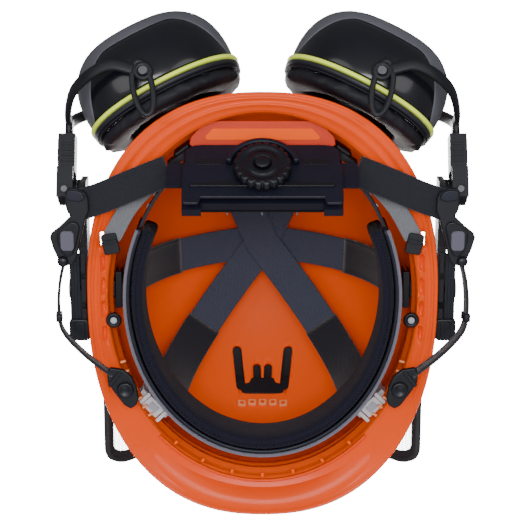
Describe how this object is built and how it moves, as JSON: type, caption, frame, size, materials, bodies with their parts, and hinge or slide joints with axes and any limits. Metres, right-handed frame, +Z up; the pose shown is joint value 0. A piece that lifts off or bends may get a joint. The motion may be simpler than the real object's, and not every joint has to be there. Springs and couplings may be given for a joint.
{
  "type": "forestry safety helmet with visor and ear muffs",
  "caption": "Orange hard hat with six point webbing harness, ratchet headband, chin strap, wire mesh visor folded up and two ear muffs parked behind the shell.",
  "frame": {"origin": "middle of the head opening, at the rim plane of the shell", "axes": "+Z up through the crown, -Y toward the peak, +X toward the wearer's left"},
  "size_m": [0.272, 0.3485, 0.2142],
  "materials": {
    "shell_orange": "glossy moulded plastic",
    "wire_mesh": "fine woven wire",
    "visor_rubber": "matte rubber edge",
    "sweatband": "perforated padded liner",
    "edge_lilac": "woven edge binding",
    "webbing": "slate grey woven webbing",
    "strap_black": "black woven webbing",
    "webbing_light": "light grey woven webbing",
    "clip_grey": "light grey plastic",
    "band_black": "satin black plastic",
    "knob_black": "fluted black plastic",
    "bracket_black": "glass filled black plastic",
    "screw_steel": "zinc plated",
    "cup_grey": "matte grey plastic",
    "cup_gloss": "gloss black plastic",
    "neon": "fluorescent yellow green",
    "cushion": "soft vinyl cushion",
    "foam": "open foam"
  },
  "bodies": {
    "helmet": {"bracket_screws": "screw_steel", "chin_strap_front_left": "strap_black", "chin_strap_front_right": "strap_black", "chin_strap_rear_left": "strap_black", "chin_strap_rear_right": "strap_black", "crown_strap_left_front": "webbing", "crown_strap_right_front": "webbing", "crown_strap_side": "webbing", "front_anchor_left": "bracket_black", "front_anchor_right": "bracket_black", "hanger_clips_front": "clip_grey", "hanger_clips_rear": "clip_grey", "hanger_clips_side": "clip_grey", "headband_edge": "edge_lilac", "headband_front": "band_black", "headband_side_arm_left": "band_black", "headband_side_arm_right": "band_black", "helmet_shell": "shell_orange", "inner_webbing_left": "webbing_light", "inner_webbing_right": "webbing_light", "knob_cap": "knob_black", "nape_cover": "band_black", "nape_housing": "band_black", "nape_pad": "sweatband", "side_bracket_left": "bracket_black", "side_bracket_right": "bracket_black", "slot_adapter_left": "bracket_black", "slot_adapter_right": "bracket_black", "strap_divider_left": "bracket_black", "strap_divider_right": "bracket_black", "sweatband_pad": "sweatband", "visor_hub_caps": "knob_black"},
    "visor": {"visor_arm_left": "bracket_black", "visor_arm_right": "bracket_black", "visor_frame": "visor_rubber", "visor_mesh": "wire_mesh"},
    "knuckle_left": {"muff_knuckle_left": "bracket_black"},
    "swing_left": {"muff_swing_block_left": "bracket_black"},
    "fork_left": {"muff_fork_left": "bracket_black"},
    "cup_left": {"muff_back_plate_left": "bracket_black", "muff_cup_cap_left": "cup_grey", "muff_cup_wall_left": "cup_gloss", "muff_cushion_left": "cushion", "muff_foam_left": "foam", "muff_neon_ring_left": "neon", "muff_pivot_pins_left": "screw_steel"},
    "knuckle_right": {"muff_knuckle_right": "bracket_black"},
    "swing_right": {"muff_swing_block_right": "bracket_black"},
    "fork_right": {"muff_fork_right": "bracket_black"},
    "cup_right": {"muff_back_plate_right": "bracket_black", "muff_cup_cap_right": "cup_grey", "muff_cup_wall_right": "cup_gloss", "muff_cushion_right": "cushion", "muff_foam_right": "foam", "muff_neon_ring_right": "neon", "muff_pivot_pins_right": "screw_steel"},
    "knob": {"ratchet_knob": "knob_black", "ratchet_pinion": "knob_black"},
    "tail_left": {"rack_tail_left": "band_black"},
    "tail_right": {"rack_tail_right": "band_black"}
  },
  "joints": [
    {"name": "visor_tilt", "type": "hinge", "parent": "helmet", "child": "visor", "pos_m": [0, 0, 0.025], "axis": [1, 0, 0], "range_deg": [0, 88]},
    {"name": "muff_park_left", "type": "hinge", "parent": "helmet", "child": "knuckle_left", "pos_m": [0.128, 0.068, 0.014], "axis": [-1, 0, 0], "range_deg": [0, 145]},
    {"name": "muff_swing_left", "type": "hinge", "parent": "knuckle_left", "child": "swing_left", "pos_m": [0.128, 0.068, 0.014], "axis": [0, 0.4226, -0.9063], "range_deg": [0, 26]},
    {"name": "muff_extend_left", "type": "slide", "parent": "swing_left", "child": "fork_left", "axis": [0, 0.9063, 0.4226], "range_m": [0, 0.012]},
    {"name": "cup_turn_left", "type": "hinge", "parent": "fork_left", "child": "cup_left", "pos_m": [0.07529, 0.12935, 0.04261], "axis": [0, 0.4226, -0.9063], "range_deg": [0, 36]},
    {"name": "muff_park_right", "type": "hinge", "parent": "helmet", "child": "knuckle_right", "pos_m": [-0.128, 0.068, 0.014], "axis": [-1, 0, 0], "range_deg": [0, 145]},
    {"name": "muff_swing_right", "type": "hinge", "parent": "knuckle_right", "child": "swing_right", "pos_m": [-0.128, 0.068, 0.014], "axis": [0, -0.4226, 0.9063], "range_deg": [0, 26]},
    {"name": "muff_extend_right", "type": "slide", "parent": "swing_right", "child": "fork_right", "axis": [0, 0.9063, 0.4226], "range_m": [0, 0.012]},
    {"name": "cup_turn_right", "type": "hinge", "parent": "fork_right", "child": "cup_right", "pos_m": [-0.07529, 0.12935, 0.04261], "axis": [0, -0.4226, 0.9063], "range_deg": [0, 36]},
    {"name": "ratchet_turn", "type": "hinge", "parent": "helmet", "child": "knob", "pos_m": [0, 0.083, -0.012], "axis": [0, 0.7986, -0.6018], "range_deg": [-90, 90]},
    {"name": "rack_slide_left", "type": "slide", "parent": "helmet", "child": "tail_left", "axis": [1, 0, 0], "range_m": [-0.0085, 0.0085]},
    {"name": "rack_slide_right", "type": "slide", "parent": "helmet", "child": "tail_right", "axis": [-1, 0, 0], "range_m": [-0.0085, 0.0085]}
  ],
  "couplings": [
    {"joint": "muff_swing_left", "follows": "muff_park_left", "ratio": 0.17931},
    {"joint": "cup_turn_left", "follows": "muff_park_left", "ratio": 0.24828},
    {"joint": "muff_swing_right", "follows": "muff_park_right", "ratio": 0.17931},
    {"joint": "cup_turn_right", "follows": "muff_park_right", "ratio": 0.24828},
    {"joint": "rack_slide_left", "follows": "ratchet_turn", "m_per_rad": 0.005},
    {"joint": "rack_slide_right", "follows": "ratchet_turn", "m_per_rad": 0.005}
  ]
}
